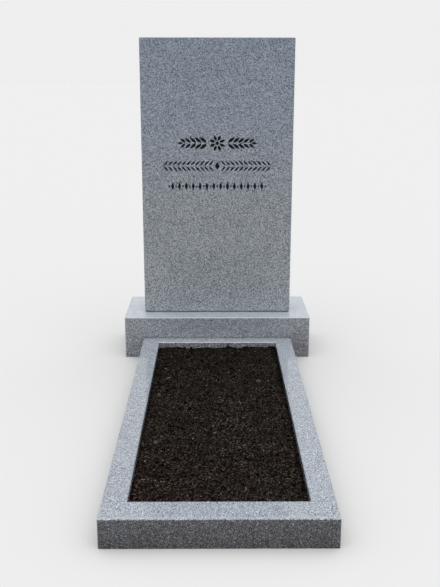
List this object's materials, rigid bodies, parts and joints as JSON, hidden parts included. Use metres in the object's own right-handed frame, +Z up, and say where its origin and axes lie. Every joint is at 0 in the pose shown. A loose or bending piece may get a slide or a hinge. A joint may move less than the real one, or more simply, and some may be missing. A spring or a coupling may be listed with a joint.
{
  "type": "granite grave monument with kerb",
  "caption": "Upright rectangular granite slab, bedded and dowelled on a block plinth, with a long rectangular granite kerb in front that holds a bed of dark soil.",
  "frame": {"origin": "on the ground, at the middle of the whole footprint, from the foot of the kerb to the back of the plinth", "axes": "+Z is up, +Y runs from the foot of the kerb towards the slab, and +X is to the right of someone who faces the slab's front"},
  "size_m": [0.69, 1.601, 1.157],
  "materials": {
    "polished_granite": "polished, fine-grained light grey granite with small dark flecks",
    "kerb_granite": "polished, fine-grained light grey granite with small dark flecks",
    "bedding_adhesive": "dark grey stone adhesive, matte",
    "seam_mastic": "grey stone mastic, matte",
    "dowel_steel": "plain round steel bar",
    "dark_soil": "raked dark garden soil, crumbly and matte"
  },
  "bodies": {
    "root": {"stele": "polished_granite", "stele_bed": "bedding_adhesive", "dowel_left": "dowel_steel", "dowel_right": "dowel_steel", "plinth": "polished_granite", "kerb_front": "kerb_granite", "kerb_left": "kerb_granite", "kerb_right": "kerb_granite", "kerb_back": "kerb_granite", "seam_front_left": "seam_mastic", "seam_front_right": "seam_mastic", "seam_back_left": "seam_mastic", "seam_back_right": "seam_mastic", "seam_plinth": "seam_mastic", "pin_front_left": "dowel_steel", "pin_front_right": "dowel_steel", "pin_back_left": "dowel_steel", "pin_back_right": "dowel_steel", "pin_plinth_left": "dowel_steel", "pin_plinth_right": "dowel_steel", "soil_fill": "dark_soil"}
  },
  "joints": []
}
